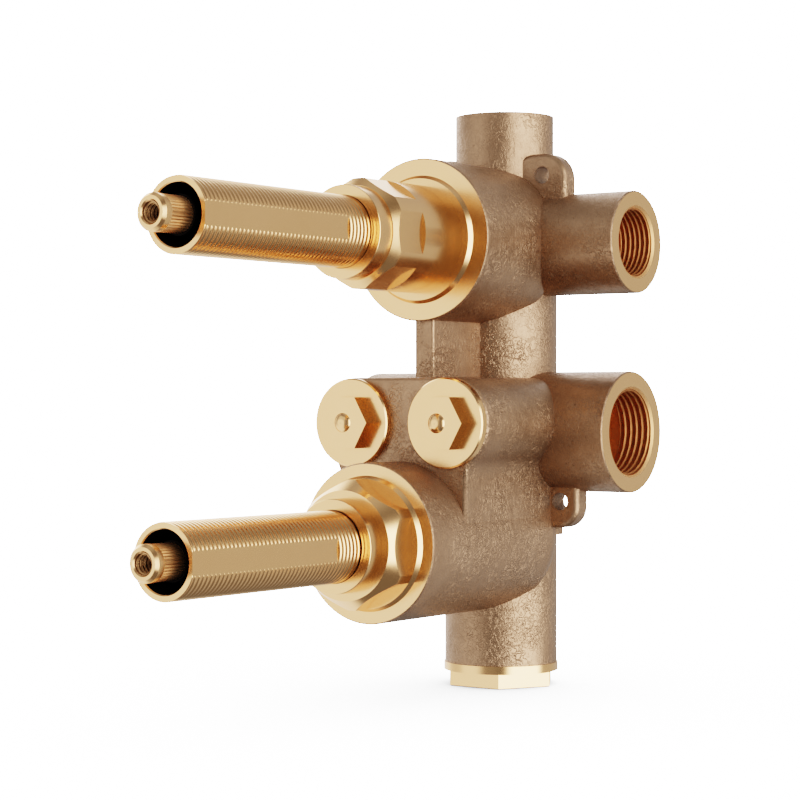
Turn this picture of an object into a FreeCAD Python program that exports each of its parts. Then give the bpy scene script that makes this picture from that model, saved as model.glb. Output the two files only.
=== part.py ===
"""Concealed two-control shower valve: one bronze casting with a diverter on top and a
temperature control below, two inlets with check valves, and two outlets.

Millimetres. +Z is up, -Y is the front. The origin is midway between the two lower ear
holes, on the rear face of the ears, which is the casting's middle plane. Depths along the
two controls are measured forward from that plane, so a depth of 45 lies at Y = -45.
"""
import FreeCAD, Part
import math
import os

V = FreeCAD.Vector

# Tolerances for picking edges and faces
same_place = 1e-4
same_direction = 0.999   # cosine

# Fits, all radial unless they are named as end gaps
thread_gap = 0.10        # screwed pieces, drawn as plain cylinders
fit_gap = 0.10           # pieces that slide in once and stay
run_gap = 0.05           # shafts in their bores
seal_gap = 0.04          # rings in their grooves and bores
end_gap = 0.10           # turning faces
float_gap = 0.40         # loose pieces in their pockets

# Heights
mixer_z = -10.5          # temperature axis, below the lower ear holes
control_spacing = 90.0   # diverter axis above the temperature axis
inlet_rise = 32.0        # inlet axis above the temperature axis
check_rise = 35.0        # check valve axes above the temperature axis
tube_drop = 40.8         # tube's lower end below the temperature axis
tube_rise = 41.6         # tube's upper end above the diverter axis

# Casting
tube_r = 17.7
top_tube_r = 15.5
diverter_barrel_r = 24.5
mixer_barrel_r = 23.55
barrel_back = 2.0        # rear end of both barrels, behind the middle plane
barrel_back_round = 10.0
machined_edge = 0.35     # broken edges of machined faces
cast_round = 1.2         # casting's outer edges
inlet_arm_r = 18.54
inlet_reach = 47.3       # inlet ends from the middle
outlet_arm_r = 15.64
outlet_reach = 49.0
block_face = 55.3        # front of the block that holds the check valves
block_boss_r = 13.55     # round bosses about the check valves
block_half = 22.8        # half width below the bosses
block_fillet = 8.0       # between the block's sides and its bosses
web_width = 6.8
web_face = 43.3
web_edge = 0.8

# Ears: two above the diverter, two beside the mixer
ear_thickness = 7.0
ear_edge = 1.6
ear_hole_r = 2.7
upper_ear_half = 27.8
upper_ear_top = 28.2     # above the diverter axis
upper_ear_height = 21.0
upper_ear_corner = 8.0
upper_hole_half = 19.4
upper_hole_rise = 21.5   # above the diverter axis
lower_ear_half = 32.1
lower_ear_drop = 8.1     # below the hole line
lower_ear_height = 21.0
lower_ear_corner = 6.5
lower_hole_half = 25.9
ear_root = 8.0           # inner ends, sunk in the casting

# Ports
large_port_r = 13.22     # three-quarter inch pipe thread, at its crest
large_port_depth = 20.0
small_port_r = 10.478    # half inch pipe thread, at its crest
small_port_depth = 19.0
port_chamfer = 0.7

# Waterways
riser_r = 9.0
riser_stop = 7.0         # riser and top outlet end this far from the diverter axis
inlet_way_r = 8.5
inlet_way_end = 14.0     # from the middle
side_way_r = 4.4
side_way_start = 4.5     # from the middle
top_way_r = 8.0
drop_r = 2.6             # drillings from the check valves to the mixer
drop_x = 14.0
mixer_outlet_r = 7.5

# Both bonnets
flange_proud = 1.3       # flanges over the ring faces
flange_bevel = 0.9
collar_r = 13.6
collar_edge = 0.15
shaft_way_r = 8.5        # passage for the shafts
bonnet_ring_r = 0.8      # section of the ring below each bonnet's flange
bonnet_ring_land = 1.0
thread_relief = 1.5      # bonnet threads run this far past the bonnets' rear ends

# Diverter chamber and bonnet
diverter_face = 45.6
diverter_thread_r = 17.0
diverter_chamber_r = 15.2
diverter_floor = 10.0
diverter_flange_r = 19.25
diverter_neck_r = 16.15  # also the round that the hexagon is cut on
diverter_neck_length = 19.0
diverter_hex = 30.0      # across flats
diverter_hex_length = 12.9
diverter_hex_front_r = 13.75
diverter_hex_chamfer = 2.1
diverter_collar_length = 6.1
diverter_socket = 12.0   # depth of the thread that takes the sleeve

# Diverter cartridge, stacked forward from the chamber floor
base_thickness = 4.0
fixed_disc_thickness = 3.5
moving_disc_thickness = 5.0
driver_thickness = 3.5
roof_thickness = 4.0
disc_pocket_r = 13.2
disc_gap = 0.3
turning_disc_gap = 0.9
port_circle_r = 7.6
base_port_r = 3.0
base_seal_width = 1.3
base_seal_thickness = 1.4
channel_depth = 2.2
channel_span = 220.0     # degrees
channel_middle = 225.0   # degrees, from +X towards +Z
driver_lug = 4.0
driver_lug_depth = 1.6
driver_lug_r = 9.0
tang = 8.0               # across flats
cartridge_neck_r = 10.0
cartridge_neck_length = 21.0

# Stems and spindles
stem_r = 6.0
stem_ring_groove = 1.2
stem_ring_width = 2.0
stem_ring_pitch = 5.0
stem_ring_inset = 8.0    # first ring from the start of its journal
clip_groove = 0.8
clip_thickness = 1.0
clip_reach = 1.6         # beyond the stem
clip_opening = 60.0      # degrees
clip_land = 1.6          # stem left beyond the clip
coupling_r = 4.6
coupling_length = 12.0
socket_wall = 2.4
socket_floor = 2.0
spindle_r = 4.4
spindle_tip_r = 5.1
spindle_tip_length = 2.8
spindle_tip_chamfer = 0.8
spline_r = 5.0
spline_depth = 0.22
spline_teeth = 36
spline_length = 8.6
shoulder_r = 5.5
shoulder_length = 1.2
screw_hole_r = 3.0
screw_hole_depth = 14.0
screw_hole_chamfer = 0.35
diverter_tip = 167.4
mixer_tip = 170.3

# Threaded sleeves
sleeve_r = 10.4775
sleeve_bore_r = 8.5
sleeve_length = 84.4
sleeve_flat = 9.85       # from the axis
sleeve_flat_length = 62.4
sleeve_chamfer = 0.5

# Mixer chamber and bonnet
mixer_face = 72.7
mixer_thread_r = 18.2
mixer_chamber_r = 17.0
mixer_floor = 12.0
mixer_flange_r = 19.8
mixer_hex = 34.0
mixer_hex_length = 10.1
mixer_hex_front_r = 15.9
mixer_hex_chamfer = 4.0
mixer_collar_length = 5.4
mixer_socket = 11.6

# Thermostat, stacked forward from the chamber floor
housing_end_wall = 3.0
housing_length = 42.0
housing_bore_r = 12.0
housing_neck_wall = 1.6
housing_neck_length = 10.0
groove_depth = 2.0
groove_width = 4.4
cold_groove = 20.4       # middles of the grooves, from the chamber floor
hot_groove = 28.8
groove_holes = 8
groove_hole_r = 1.6
housing_ring_r = 0.9
shuttle_length = 8.0
shuttle_wall = 1.6
shuttle_web = 2.4
shuttle_start = 20.6     # rear end, from the chamber floor
shuttle_hole_r = 1.8
shuttle_ring_r = 0.6
wax_r = 3.6
wax_length = 16.0
wax_flange_r = 6.2
wax_flange = 2.0
wax_pin_r = 1.5
wax_pin_length = 9.0
plate_thickness = 1.6
feed_nut_r = 11.5
feed_nut_flat = 10.6     # from the axis, keys the nut in its housing
feed_nut_length = 13.0
feed_nut_wall = 3.4
feed_screw_r = 4.6
feed_travel = 0.75
thrust_r = 9.0
thrust_length = 3.0
mixer_ring_inset = 3.5   # first stem ring from the gland's rear face

# Springs
check_wire_r = 0.3
check_coils = 4.0
overload_wire_r = 0.7
overload_coils = 3.0
return_wire_r = 0.6
return_coils = 3.0

# Check valves and their plugs
check_x = 16.93
check_bore_r = 6.6
check_floor = 12.0
check_thread_length = 12.0
check_seat_way_r = 4.2
check_seat_length = 3.0
check_guide_length = 13.0
check_guide_wall = 1.2
check_guide_windows = 4
check_window = 3.0
check_bridge = 1.6
poppet_r = 5.0
poppet_thickness = 1.6
poppet_boss_r = 1.9
poppet_seal_thickness = 1.0
poppet_stem_r = 1.1
poppet_stem_length = 10.0
plug_disc_r = 13.3
plug_disc_thickness = 2.3
plug_disc_edge = 0.4
plug_hex = 15.2
plug_hex_height = 4.1
plug_nub_r = 2.9
plug_nub_height = 1.0
plug_ring_r = 0.8

# Bottom plug
bottom_flange_r = 18.0
bottom_flange_thickness = 2.5
bottom_hex = 31.2
bottom_hex_height = 4.4
bottom_thread_length = 12.0
bottom_hollow_r = 8.0
bottom_ring_r = 1.0

# Derived places
diverter_z = mixer_z + control_spacing
inlet_z = mixer_z + inlet_rise
check_z = mixer_z + check_rise
tube_bottom = mixer_z - tube_drop
tube_top = diverter_z + tube_rise
top_tube_y = tube_r - top_tube_r

diverter_hex_start = diverter_face + flange_proud + diverter_neck_length
diverter_collar_start = diverter_hex_start + diverter_hex_length
diverter_end = diverter_collar_start + diverter_collar_length
diverter_socket_floor = diverter_end - diverter_socket
fixed_disc_start = diverter_floor + base_thickness
moving_disc_start = fixed_disc_start + fixed_disc_thickness
driver_start = moving_disc_start + moving_disc_thickness
roof_start = driver_start + driver_thickness + end_gap
cartridge_shoulder = roof_start + roof_thickness
cartridge_end = cartridge_shoulder + cartridge_neck_length

diverter_ring_depth = roof_start + stem_ring_inset

mixer_hex_start = mixer_face + flange_proud
mixer_collar_start = mixer_hex_start + mixer_hex_length
mixer_end = mixer_collar_start + mixer_collar_length
mixer_socket_floor = mixer_end - mixer_socket
housing_bore_start = mixer_floor + housing_end_wall
housing_shoulder = mixer_floor + housing_length
housing_end = housing_shoulder + housing_neck_length
housing_neck_r = housing_bore_r + housing_neck_wall
mixer_ring_depth = housing_end + mixer_ring_inset
shuttle_rear = mixer_floor + shuttle_start
wax_seat = shuttle_rear + shuttle_length / 2 + shuttle_web / 2
plate_rear = wax_seat + wax_flange + wax_pin_length
thrust_start = housing_end - thrust_length - end_gap
feed_nut_start = thrust_start - feed_travel - float_gap - feed_nut_length
feed_pocket_r = feed_nut_r - feed_nut_wall
plate_r = feed_pocket_r - float_gap
feed_pocket_end = feed_nut_start + feed_nut_length - feed_nut_wall

check_seat_end = check_floor + check_seat_length
check_guide_end = check_seat_end + check_guide_length
check_bridge_start = check_guide_end - check_bridge
poppet_end = check_seat_end + poppet_seal_thickness + poppet_thickness
plug_end = block_face - check_thread_length


def outline(points, place):
    """A closed wire. A point (a, b) ends a straight run, (a, b, c, d) an arc through (a, b)."""
    start = place(*points[0])
    edges = []
    last = start
    for point in points[1:]:
        end = place(*point[-2:])
        if len(point) == 2:
            edges.append(Part.makeLine(last, end))
        else:
            edges.append(Part.Arc(last, place(*point[:2]), end).toShape())
        last = end
    edges.append(Part.makeLine(last, start))
    return Part.Wire(edges)


def turned(points, x, z):
    """A piece turned about an axis that runs forward through x, z, from (radius, depth) points."""
    wire = outline(points, lambda r, depth: V(x + r, -depth, z))
    return Part.Face(wire).revolve(V(x, 0, z), V(0, 1, 0), 360)


def turned_up(points):
    """A piece turned about the tube's axis, from (radius, height) points."""
    wire = outline(points, lambda r, height: V(r, 0, height))
    return Part.Face(wire).revolve(V(0, 0, 0), V(0, 0, 1), 360)


def forward(r, start, end, x, z):
    """A round bar along a control's axis, between two depths."""
    return Part.makeCylinder(r, end - start, V(x, -start, z), V(0, -1, 0))


def upright(r, bottom, top, x, y):
    return Part.makeCylinder(r, top - bottom, V(x, y, bottom), V(0, 0, 1))


def sideways(r, start, end, z):
    """A round bar along X in the casting's middle plane."""
    axis = V(end - start, 0, 0)
    return Part.makeCylinder(r, axis.Length, V(start, 0, z), axis)


def tube_piece(outer, inner, start, end, x, z):
    return turned([(inner, start), (outer, start), (outer, end), (inner, end)], x, z)


def closed_face(points):
    return Part.Face(Part.makePolygon(points + points[:1]))


def hexagon_corners(across, turn):
    corner = across / (2 * math.cos(math.pi / 6))
    angles = [turn + i * math.pi / 3 for i in range(6)]
    return [(corner * math.cos(angle), corner * math.sin(angle)) for angle in angles]


def hexagon(across, start, end, x, z, turn):
    """A six-sided bar along a control's axis, with its first corner at the angle turn."""
    points = [V(x + a, -start, z + b) for a, b in hexagon_corners(across, turn)]
    return closed_face(points).extrude(V(0, start - end, 0))


def ring(r, section_r, depth, x, z):
    """A rubber ring of round section."""
    return Part.makeTorus(r, section_r, V(x, -depth, z), V(0, 1, 0))


def coil(r, wire_r, start, end, turns, x, z):
    """A wire spring between two depths, to the outside of its end turns."""
    height = end - start - 2 * wire_r
    helix = Part.makeHelix(height / turns, height, r)
    section = Part.Wire(Part.makeCircle(wire_r, V(r, 0, 0), V(0, 1, 0)))
    spring = Part.Wire(helix.Edges).makePipeShell([section], True, True)
    spring.rotate(V(0, 0, 0), V(1, 0, 0), 90)
    spring.translate(V(x, -start - wire_r, z))
    return spring


def turned_copies(shape, count, x, z):
    """Copies of a shape around an axis that runs forward."""
    copies = []
    for i in range(count):
        copy = shape.copy()
        copy.rotate(V(x, 0, z), V(0, 1, 0), 360.0 * i / count)
        copies.append(copy)
    return copies


def barrel(r, face, z):
    """A horizontal barrel with a machined front and a round-edged rear end."""
    bend = barrel_back_round * (1 - math.sqrt(0.5))
    return turned([(0, -barrel_back),
                   (r - barrel_back_round, -barrel_back),
                   (r - bend, -barrel_back + bend, r, -barrel_back + barrel_back_round),
                   (r, face - machined_edge),
                   (r - machined_edge, face),
                   (0, face)], 0, z)


def arm(r, reach, side, z):
    """A pipe arm along X with a machined end, left (-1) or right (+1)."""
    profile = [(0, 0), (0, r), (reach - machined_edge, r), (reach, r - machined_edge), (reach, 0)]
    wire = outline(profile, lambda x, up: V(side * x, 0, z + up))
    return Part.Face(wire).revolve(V(0, 0, z), V(1, 0, 0), 360)


def rounded(shape, radius, chosen):
    """The shape with the edges that the test chosen picks rounded."""
    return shape.makeFillet(radius, [edge for edge in shape.Edges if chosen(edge)])


def along(edge, axis):
    """Whether an edge is straight and runs along an axis."""
    line = edge.Vertexes[-1].Point - edge.Vertexes[0].Point
    return len(edge.Vertexes) == 2 and abs(abs(line.dot(axis)) - edge.Length) < same_place


def ear(inner, outer, bottom, top, corner):
    """A flat ear with rounded corners and edges, its rear face in the casting's middle plane."""
    plate = Part.makeBox(outer - inner, ear_thickness, top - bottom, V(inner, -ear_thickness, bottom))
    plate = rounded(plate, corner, lambda edge: along(edge, V(0, 1, 0)))
    flat_faces = [face for face in plate.Faces if abs(face.normalAt(0, 0).y) > same_direction]
    return plate.makeFillet(ear_edge, [edge for face in flat_faces for edge in face.Edges])


def ears():
    upper_top = diverter_z + upper_ear_top
    upper = ear(ear_root, upper_ear_half, upper_top - upper_ear_height, upper_top, upper_ear_corner)
    lower_top = lower_ear_height - lower_ear_drop
    lower = ear(ear_root, lower_ear_half, -lower_ear_drop, lower_top, lower_ear_corner)
    right = [upper, lower]
    return right + [plate.mirror(V(0, 0, 0), V(1, 0, 0)) for plate in right]


def check_block():
    """The block over the mixer barrel: a round boss about each check valve, filleted into its sides."""
    sides = Part.makeBox(2 * block_half, block_face, check_z - mixer_z, V(-block_half, -block_face, mixer_z))
    middle = Part.makeBox(2 * check_x, block_face, block_boss_r, V(-check_x, -block_face, check_z))
    bosses = [forward(block_boss_r, 0, block_face, x, check_z) for x in (-check_x, check_x)]
    block = sides.fuse([middle] + bosses).removeSplitter()
    block = rounded(block, block_fillet,
                    lambda edge: along(edge, V(0, 1, 0))
                    and abs(edge.CenterOfMass.x) > block_half - same_place
                    and mixer_z + same_place < edge.CenterOfMass.z < inlet_z)
    return rounded(block, cast_round,
                   lambda edge: edge.CenterOfMass.y < same_place - block_face
                   and edge.CenterOfMass.z > mixer_z + same_place)


def web():
    """The rib between the diverter barrel and the block."""
    rib = Part.makeBox(web_width, web_face, diverter_z - check_z, V(-web_width / 2, -web_face, check_z))
    return rounded(rib, web_edge, lambda edge: along(edge, V(0, 0, 1)) and edge.CenterOfMass.y < -tube_r)


def casting_outside():
    tube = upright(tube_r, tube_bottom, diverter_z, 0, 0)
    pieces = [upright(top_tube_r, diverter_z, tube_top, 0, top_tube_y),
              barrel(diverter_barrel_r, diverter_face, diverter_z),
              barrel(mixer_barrel_r, mixer_face, mixer_z),
              arm(inlet_arm_r, inlet_reach, -1, inlet_z),
              arm(inlet_arm_r, inlet_reach, 1, inlet_z),
              arm(outlet_arm_r, outlet_reach, 1, diverter_z),
              check_block(), web()]
    return tube.fuse(pieces + ears()).removeSplitter()


def port(r, depth):
    """A threaded port's hollow, pointing up from its mouth at the origin."""
    mouth = Part.makeCone(r, r + port_chamfer, port_chamfer, V(0, 0, -port_chamfer))
    return Part.makeCylinder(r, depth, V(0, 0, -depth)).fuse(mouth)


def port_hollows():
    """The hollows of the inlets, the side outlet, the top outlet and the bottom port."""
    hollows = []
    for r, depth, turn, at in ((large_port_r, large_port_depth, 90, V(inlet_reach, 0, inlet_z)),
                               (large_port_r, large_port_depth, -90, V(-inlet_reach, 0, inlet_z)),
                               (large_port_r, large_port_depth, 180, V(0, 0, tube_bottom)),
                               (small_port_r, small_port_depth, 90, V(outlet_reach, 0, diverter_z)),
                               (small_port_r, small_port_depth, 0, V(0, top_tube_y, tube_top))):
        hollow = port(r, depth)
        hollow.rotate(V(0, 0, 0), V(0, 1, 0), turn)
        hollow.translate(at)
        hollows.append(hollow)
    return hollows


def chamber(floor, steps, z):
    """A control's stepped chamber. Each step forward from the floor is a radius and the depth of its end."""
    points = [(0, floor)]
    start = floor
    for r, end in steps:
        points += [(r, start), (r, end)]
        start = end
    return turned(points + [(0, start)], 0, z)


def base_port_places():
    """Centres of the diverter's three base ports: supply below, side outlet, top outlet."""
    return [(0, diverter_z - port_circle_r), (port_circle_r, diverter_z), (0, diverter_z + port_circle_r)]


def waterways():
    ways = [upright(riser_r, tube_bottom, diverter_z - riser_stop, 0, 0),
            upright(top_way_r, diverter_z + riser_stop, tube_top, 0, top_tube_y),
            sideways(side_way_r, side_way_start, outlet_reach, diverter_z),
            forward(mixer_outlet_r, 0, mixer_floor, 0, mixer_z)]
    ways += [forward(base_port_r, 0, diverter_floor, x, z) for x, z in base_port_places()]
    for side, groove in ((-1, hot_groove), (1, cold_groove)):
        ways += [sideways(inlet_way_r, side * inlet_way_end, side * inlet_reach, inlet_z),
                 forward(check_seat_way_r, 0, check_floor, side * check_x, check_z),
                 forward(check_bore_r, check_floor, block_face, side * check_x, check_z),
                 upright(drop_r, mixer_z, check_z, side * drop_x, -mixer_floor - groove)]
    return ways


def ear_holes():
    holes = []
    for side in (-1, 1):
        for half, z in ((upper_hole_half, diverter_z + upper_hole_rise), (lower_hole_half, 0)):
            holes.append(forward(ear_hole_r, 0, ear_thickness, side * half, z))
    return holes


def valve_body():
    chambers = [chamber(diverter_floor, [(diverter_chamber_r, cartridge_shoulder - thread_relief),
                                         (diverter_thread_r, diverter_face)], diverter_z),
                chamber(mixer_floor, [(mixer_chamber_r, housing_shoulder - thread_relief),
                                      (mixer_thread_r, mixer_face)], mixer_z)]
    hollows = chambers + port_hollows() + waterways() + ear_holes()
    return casting_outside().cut(hollows).removeSplitter()


def bonnet_bore(points, end, z):
    """The hollow of a bonnet, turned from the points of its steps."""
    return turned([(0, points[0][1])] + points + [(0, end)], 0, z)


def bonnet_rear(thread_r, rear, face, flange_r):
    """Profile of a bonnet up to its flange's front: threaded skirt, ring groove and bevelled flange."""
    skirt_r = thread_r - thread_gap
    groove_r = skirt_r - 2 * bonnet_ring_r
    groove_end = face - bonnet_ring_land
    groove_start = groove_end - 2 * bonnet_ring_r - 2 * seal_gap
    return [(0, rear), (skirt_r, rear), (skirt_r, groove_start), (groove_r, groove_start),
            (groove_r, groove_end), (skirt_r, groove_end), (skirt_r, face), (flange_r, face),
            (flange_r - flange_bevel, face + flange_proud)]


def hex_head(across, corner_r, start, end, chamfer, front_r, z):
    """A bonnet's hexagon, cut on a round bar that is coned down towards its front."""
    bar = turned([(0, start), (corner_r, start), (corner_r, end - chamfer), (front_r, end), (0, end)], 0, z)
    return hexagon(across, start, end, 0, z, math.pi / 2).common(bar)


def collar(start, end, z):
    """A bonnet's round collar, with its front edge broken."""
    return turned([(0, start), (collar_r, start), (collar_r, end - collar_edge),
                   (collar_r - collar_edge, end), (0, end)], 0, z)


def diverter_bonnet():
    """Retaining bonnet with a long neck, a hexagon cut on it and a collar that takes the sleeve."""
    profile = bonnet_rear(diverter_thread_r, cartridge_shoulder, diverter_face, diverter_flange_r)
    profile += [(diverter_neck_r, diverter_face + flange_proud), (diverter_neck_r, diverter_hex_start),
                (0, diverter_hex_start)]
    nut = hex_head(diverter_hex, diverter_neck_r, diverter_hex_start, diverter_collar_start,
                   diverter_hex_chamfer, diverter_hex_front_r, diverter_z)
    bore = bonnet_bore([(cartridge_neck_r + fit_gap, cartridge_shoulder),
                        (cartridge_neck_r + fit_gap, cartridge_end + float_gap),
                        (shaft_way_r, cartridge_end + float_gap),
                        (shaft_way_r, diverter_socket_floor),
                        (sleeve_r + thread_gap, diverter_socket_floor),
                        (sleeve_r + thread_gap, diverter_end)], diverter_end, diverter_z)
    front = [nut, collar(diverter_collar_start, diverter_end, diverter_z)]
    return turned(profile, 0, diverter_z).fuse(front).removeSplitter().cut(bore)


def bonnet_ring(thread_r, face, z):
    """The rubber ring below a bonnet's flange."""
    section = bonnet_ring_r - seal_gap
    return ring(thread_r - thread_gap - bonnet_ring_r, section,
                face - bonnet_ring_land - bonnet_ring_r - seal_gap, 0, z)


def sleeve(start, z):
    """A sleeve with an outside thread and two long flats."""
    end = start + sleeve_length
    body = turned([(sleeve_bore_r, start), (sleeve_r, start), (sleeve_r, end - sleeve_chamfer),
                   (sleeve_r - sleeve_chamfer, end), (sleeve_bore_r, end)], 0, z)
    flats = [Part.makeBox(sleeve_r, sleeve_flat_length, 2 * sleeve_r,
                          V(x, -end, z - sleeve_r))
             for x in (sleeve_flat, -sleeve_flat - sleeve_r)]
    return body.cut(flats)


def spline(start, z):
    """Fine straight teeth around a spindle's end."""
    points = []
    for i in range(2 * spline_teeth):
        r = spline_r - spline_depth * (i % 2)
        angle = math.pi * i / spline_teeth
        points.append(V(r * math.cos(angle), -start, z + r * math.sin(angle)))
    return closed_face(points).extrude(V(0, -spline_length, 0))


def spindle(socket_start, tip, z):
    """The long shaft that carries the handle: socket, shaft, splined end and tapped hole."""
    socket_r = coupling_r + fit_gap
    socket_end = socket_start + coupling_length + fit_gap
    tip_start = tip - spindle_tip_length
    spline_start = tip_start - spline_length
    shoulder_start = spline_start - shoulder_length
    shaft = turned([(socket_r, socket_start), (socket_r + socket_wall, socket_start),
                    (socket_r + socket_wall, socket_end + socket_floor),
                    (spindle_r, socket_end + socket_floor), (spindle_r, shoulder_start),
                    (shoulder_r, shoulder_start), (shoulder_r, spline_start), (0, spline_start),
                    (0, socket_end), (socket_r, socket_end)], 0, z)
    nose = turned([(0, tip_start), (spindle_tip_r, tip_start), (spindle_tip_r, tip - spindle_tip_chamfer),
                   (spindle_tip_r - spindle_tip_chamfer, tip), (0, tip)], 0, z)
    hole = turned([(0, tip - screw_hole_depth), (screw_hole_r, tip - screw_hole_depth),
                   (screw_hole_r, tip - screw_hole_chamfer),
                   (screw_hole_r + screw_hole_chamfer, tip), (0, tip)], 0, z)
    return shaft.fuse([spline(spline_start, z), nose]).cut(hole)


def stem_rings(first, z):
    """Two rubber rings on a stem."""
    section = (stem_ring_groove + run_gap - 2 * seal_gap) / 2
    centre = stem_r + run_gap - seal_gap - section
    depths = (first, first + stem_ring_pitch)
    return Part.makeCompound([ring(centre, section, depth, 0, z) for depth in depths])


def grooves(first, clip_start, z):
    """The cuts in a stem for its two rings and its clip."""
    outer = stem_r + fit_gap
    cuts = [tube_piece(outer, stem_r - stem_ring_groove, depth - stem_ring_width / 2,
                       depth + stem_ring_width / 2, 0, z)
            for depth in (first, first + stem_ring_pitch)]
    cuts.append(tube_piece(outer, stem_r - clip_groove, clip_start, clip_start + clip_thickness, 0, z))
    return cuts


def clip(start, z):
    """An open spring clip in a stem's groove."""
    outer = stem_r + clip_reach
    whole = tube_piece(outer, stem_r - clip_groove + seal_gap, start, start + clip_thickness, 0, z)
    half = math.radians(clip_opening / 2)
    across = 2 * outer * math.sin(half)
    ahead = 2 * outer * math.cos(half)
    points = [V(0, -start, z), V(ahead, -start, z - across), V(ahead, -start, z + across)]
    gap = closed_face(points).extrude(V(0, -clip_thickness, 0))
    return whole.cut(gap)


def base_seals():
    """Three flat rings between the chamber floor and the cartridge's base."""
    return Part.makeCompound([tube_piece(base_port_r + base_seal_width, base_port_r, diverter_floor,
                                         diverter_floor + base_seal_thickness, x, z)
                              for x, z in base_port_places()])


def cartridge_base():
    body = forward(disc_pocket_r - fit_gap, diverter_floor, fixed_disc_start, 0, diverter_z)
    seal_end = diverter_floor + base_seal_thickness
    cuts = []
    for x, z in base_port_places():
        cuts += [forward(base_port_r, diverter_floor, fixed_disc_start, x, z),
                 forward(base_port_r + base_seal_width, diverter_floor, seal_end, x, z)]
    return body.cut(cuts)


def fixed_disc():
    disc = forward(disc_pocket_r - disc_gap, fixed_disc_start, moving_disc_start, 0, diverter_z)
    return disc.cut([forward(base_port_r, fixed_disc_start, moving_disc_start, x, z)
                     for x, z in base_port_places()])


def lugs(size, start, end):
    """The driver's two lugs, or with a clearance in their size the disc's notches."""
    return [Part.makeBox(size, end - start, size, V(x - size / 2, -end, diverter_z - size / 2))
            for x in (driver_lug_r, -driver_lug_r)]


def moving_disc():
    """Ceramic disc with a curved channel that joins the supply to one outlet at a time."""
    disc = forward(disc_pocket_r - turning_disc_gap, moving_disc_start, driver_start, 0, diverter_z)
    inner = port_circle_r - base_port_r
    outer = port_circle_r + base_port_r
    section = [V(inner, 0, 0), V(outer, 0, 0), V(outer, -channel_depth, 0), V(inner, -channel_depth, 0)]
    channel = closed_face(section).revolve(V(0, 0, 0), V(0, -1, 0), channel_span)
    channel.rotate(V(0, 0, 0), V(0, -1, 0), channel_middle - channel_span / 2)
    channel.translate(V(0, -moving_disc_start, diverter_z))
    notches = lugs(driver_lug + 2 * fit_gap, driver_start - driver_lug_depth - end_gap, driver_start)
    return disc.cut([channel] + notches)


def driver():
    """Carrier that turns the moving disc, driven by the stem's tang."""
    end = driver_start + driver_thickness
    body = forward(disc_pocket_r - turning_disc_gap, driver_start, end, 0, diverter_z)
    body = body.fuse(lugs(driver_lug, driver_start - driver_lug_depth, driver_start)).removeSplitter()
    return body.cut(hexagon(tang + 2 * fit_gap, driver_start, end, 0, diverter_z, 0))


def cartridge_housing():
    outer = diverter_chamber_r - fit_gap
    return turned([(disc_pocket_r, diverter_floor), (outer, diverter_floor), (outer, cartridge_shoulder),
                   (cartridge_neck_r, cartridge_shoulder), (cartridge_neck_r, cartridge_end),
                   (stem_r + run_gap, cartridge_end), (stem_r + run_gap, roof_start),
                   (disc_pocket_r, roof_start)], 0, diverter_z)


def diverter_stem():
    journal_start = roof_start
    clip_start = cartridge_end
    journal_end = clip_start + clip_thickness + clip_land
    end = journal_end + coupling_length
    body = turned([(0, journal_start), (stem_r, journal_start), (stem_r, journal_end),
                   (coupling_r, journal_end), (coupling_r, end), (0, end)], 0, diverter_z)
    drive = hexagon(tang, driver_start, journal_start, 0, diverter_z, 0)
    return body.fuse(drive).removeSplitter().cut(grooves(diverter_ring_depth, clip_start, diverter_z))


def mixer_bonnet():
    """Bonnet that holds the thermostat: hexagon on a bevelled flange, collar and gland."""
    profile = bonnet_rear(mixer_thread_r, housing_shoulder, mixer_face, mixer_flange_r)
    profile.append((0, mixer_hex_start))
    nut = hex_head(mixer_hex, mixer_flange_r - flange_bevel, mixer_hex_start, mixer_collar_start,
                   mixer_hex_chamfer, mixer_hex_front_r, mixer_z)
    bore = bonnet_bore([(housing_neck_r + fit_gap, housing_shoulder), (housing_neck_r + fit_gap, housing_end),
                        (stem_r + run_gap, housing_end), (stem_r + run_gap, mixer_socket_floor),
                        (sleeve_r + thread_gap, mixer_socket_floor),
                        (sleeve_r + thread_gap, mixer_end)], mixer_end, mixer_z)
    front = [nut, collar(mixer_collar_start, mixer_end, mixer_z)]
    return turned(profile, 0, mixer_z).fuse(front).removeSplitter().cut(bore)


def mixer_stem():
    """Temperature stem: feed screw, thrust collar, journal and coupling."""
    thrust_end = thrust_start + thrust_length
    clip_start = mixer_socket_floor
    journal_end = clip_start + clip_thickness + clip_land
    end = journal_end + coupling_length
    body = turned([(0, feed_pocket_end + end_gap), (feed_screw_r, feed_pocket_end + end_gap),
                   (feed_screw_r, thrust_start), (thrust_r, thrust_start), (thrust_r, thrust_end),
                   (stem_r, thrust_end), (stem_r, journal_end), (coupling_r, journal_end),
                   (coupling_r, end), (0, end)], 0, mixer_z)
    return body.cut(grooves(mixer_ring_depth, clip_start, mixer_z))


def housing_ring_places():
    """Depths of the three rings that part the hot, cold and mixed water."""
    between = (cold_groove + hot_groove) / 2
    step = hot_groove - between
    return [mixer_floor + between + step * 2 * i for i in (-1, 0, 1)]


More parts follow.
